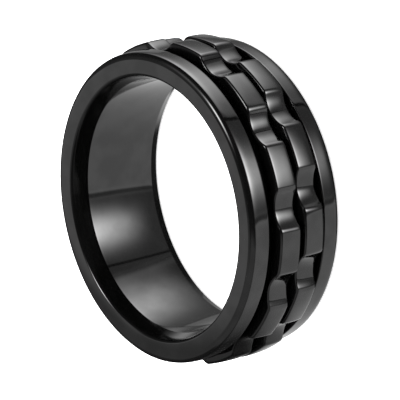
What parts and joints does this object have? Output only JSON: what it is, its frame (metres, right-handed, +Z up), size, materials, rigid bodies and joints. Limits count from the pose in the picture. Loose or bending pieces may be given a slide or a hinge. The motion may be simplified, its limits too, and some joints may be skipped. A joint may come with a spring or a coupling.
{
  "type": "spinner ring",
  "caption": "Glossy black finger ring: a channelled base band with two loose toothed bands that spin freely round it.",
  "frame": {"origin": "centre of the ring's lower face, on the surface that it lies on", "axes": "+Z up along the finger bore; +X and +Y across the ring, with the first valley of the teeth near +X"},
  "size_m": [0.0236, 0.0236, 0.008],
  "materials": {
    "base_black": "black-plated steel, polished to a gloss",
    "spinner_black": "black-plated steel, satin to glossy"
  },
  "bodies": {
    "base": {"base_band": "base_black"},
    "upper_band": {"upper_spinner": "spinner_black"},
    "lower_band": {"lower_spinner": "spinner_black"}
  },
  "joints": [
    {"name": "upper_spin", "type": "hinge", "parent": "base", "child": "upper_band", "pos_m": [0, 0, 0.00492], "axis": [0, 0, 1], "continuous": true},
    {"name": "lower_spin", "type": "hinge", "parent": "base", "child": "lower_band", "pos_m": [0, 0, 0.00274], "axis": [0, 0, 1], "continuous": true}
  ]
}
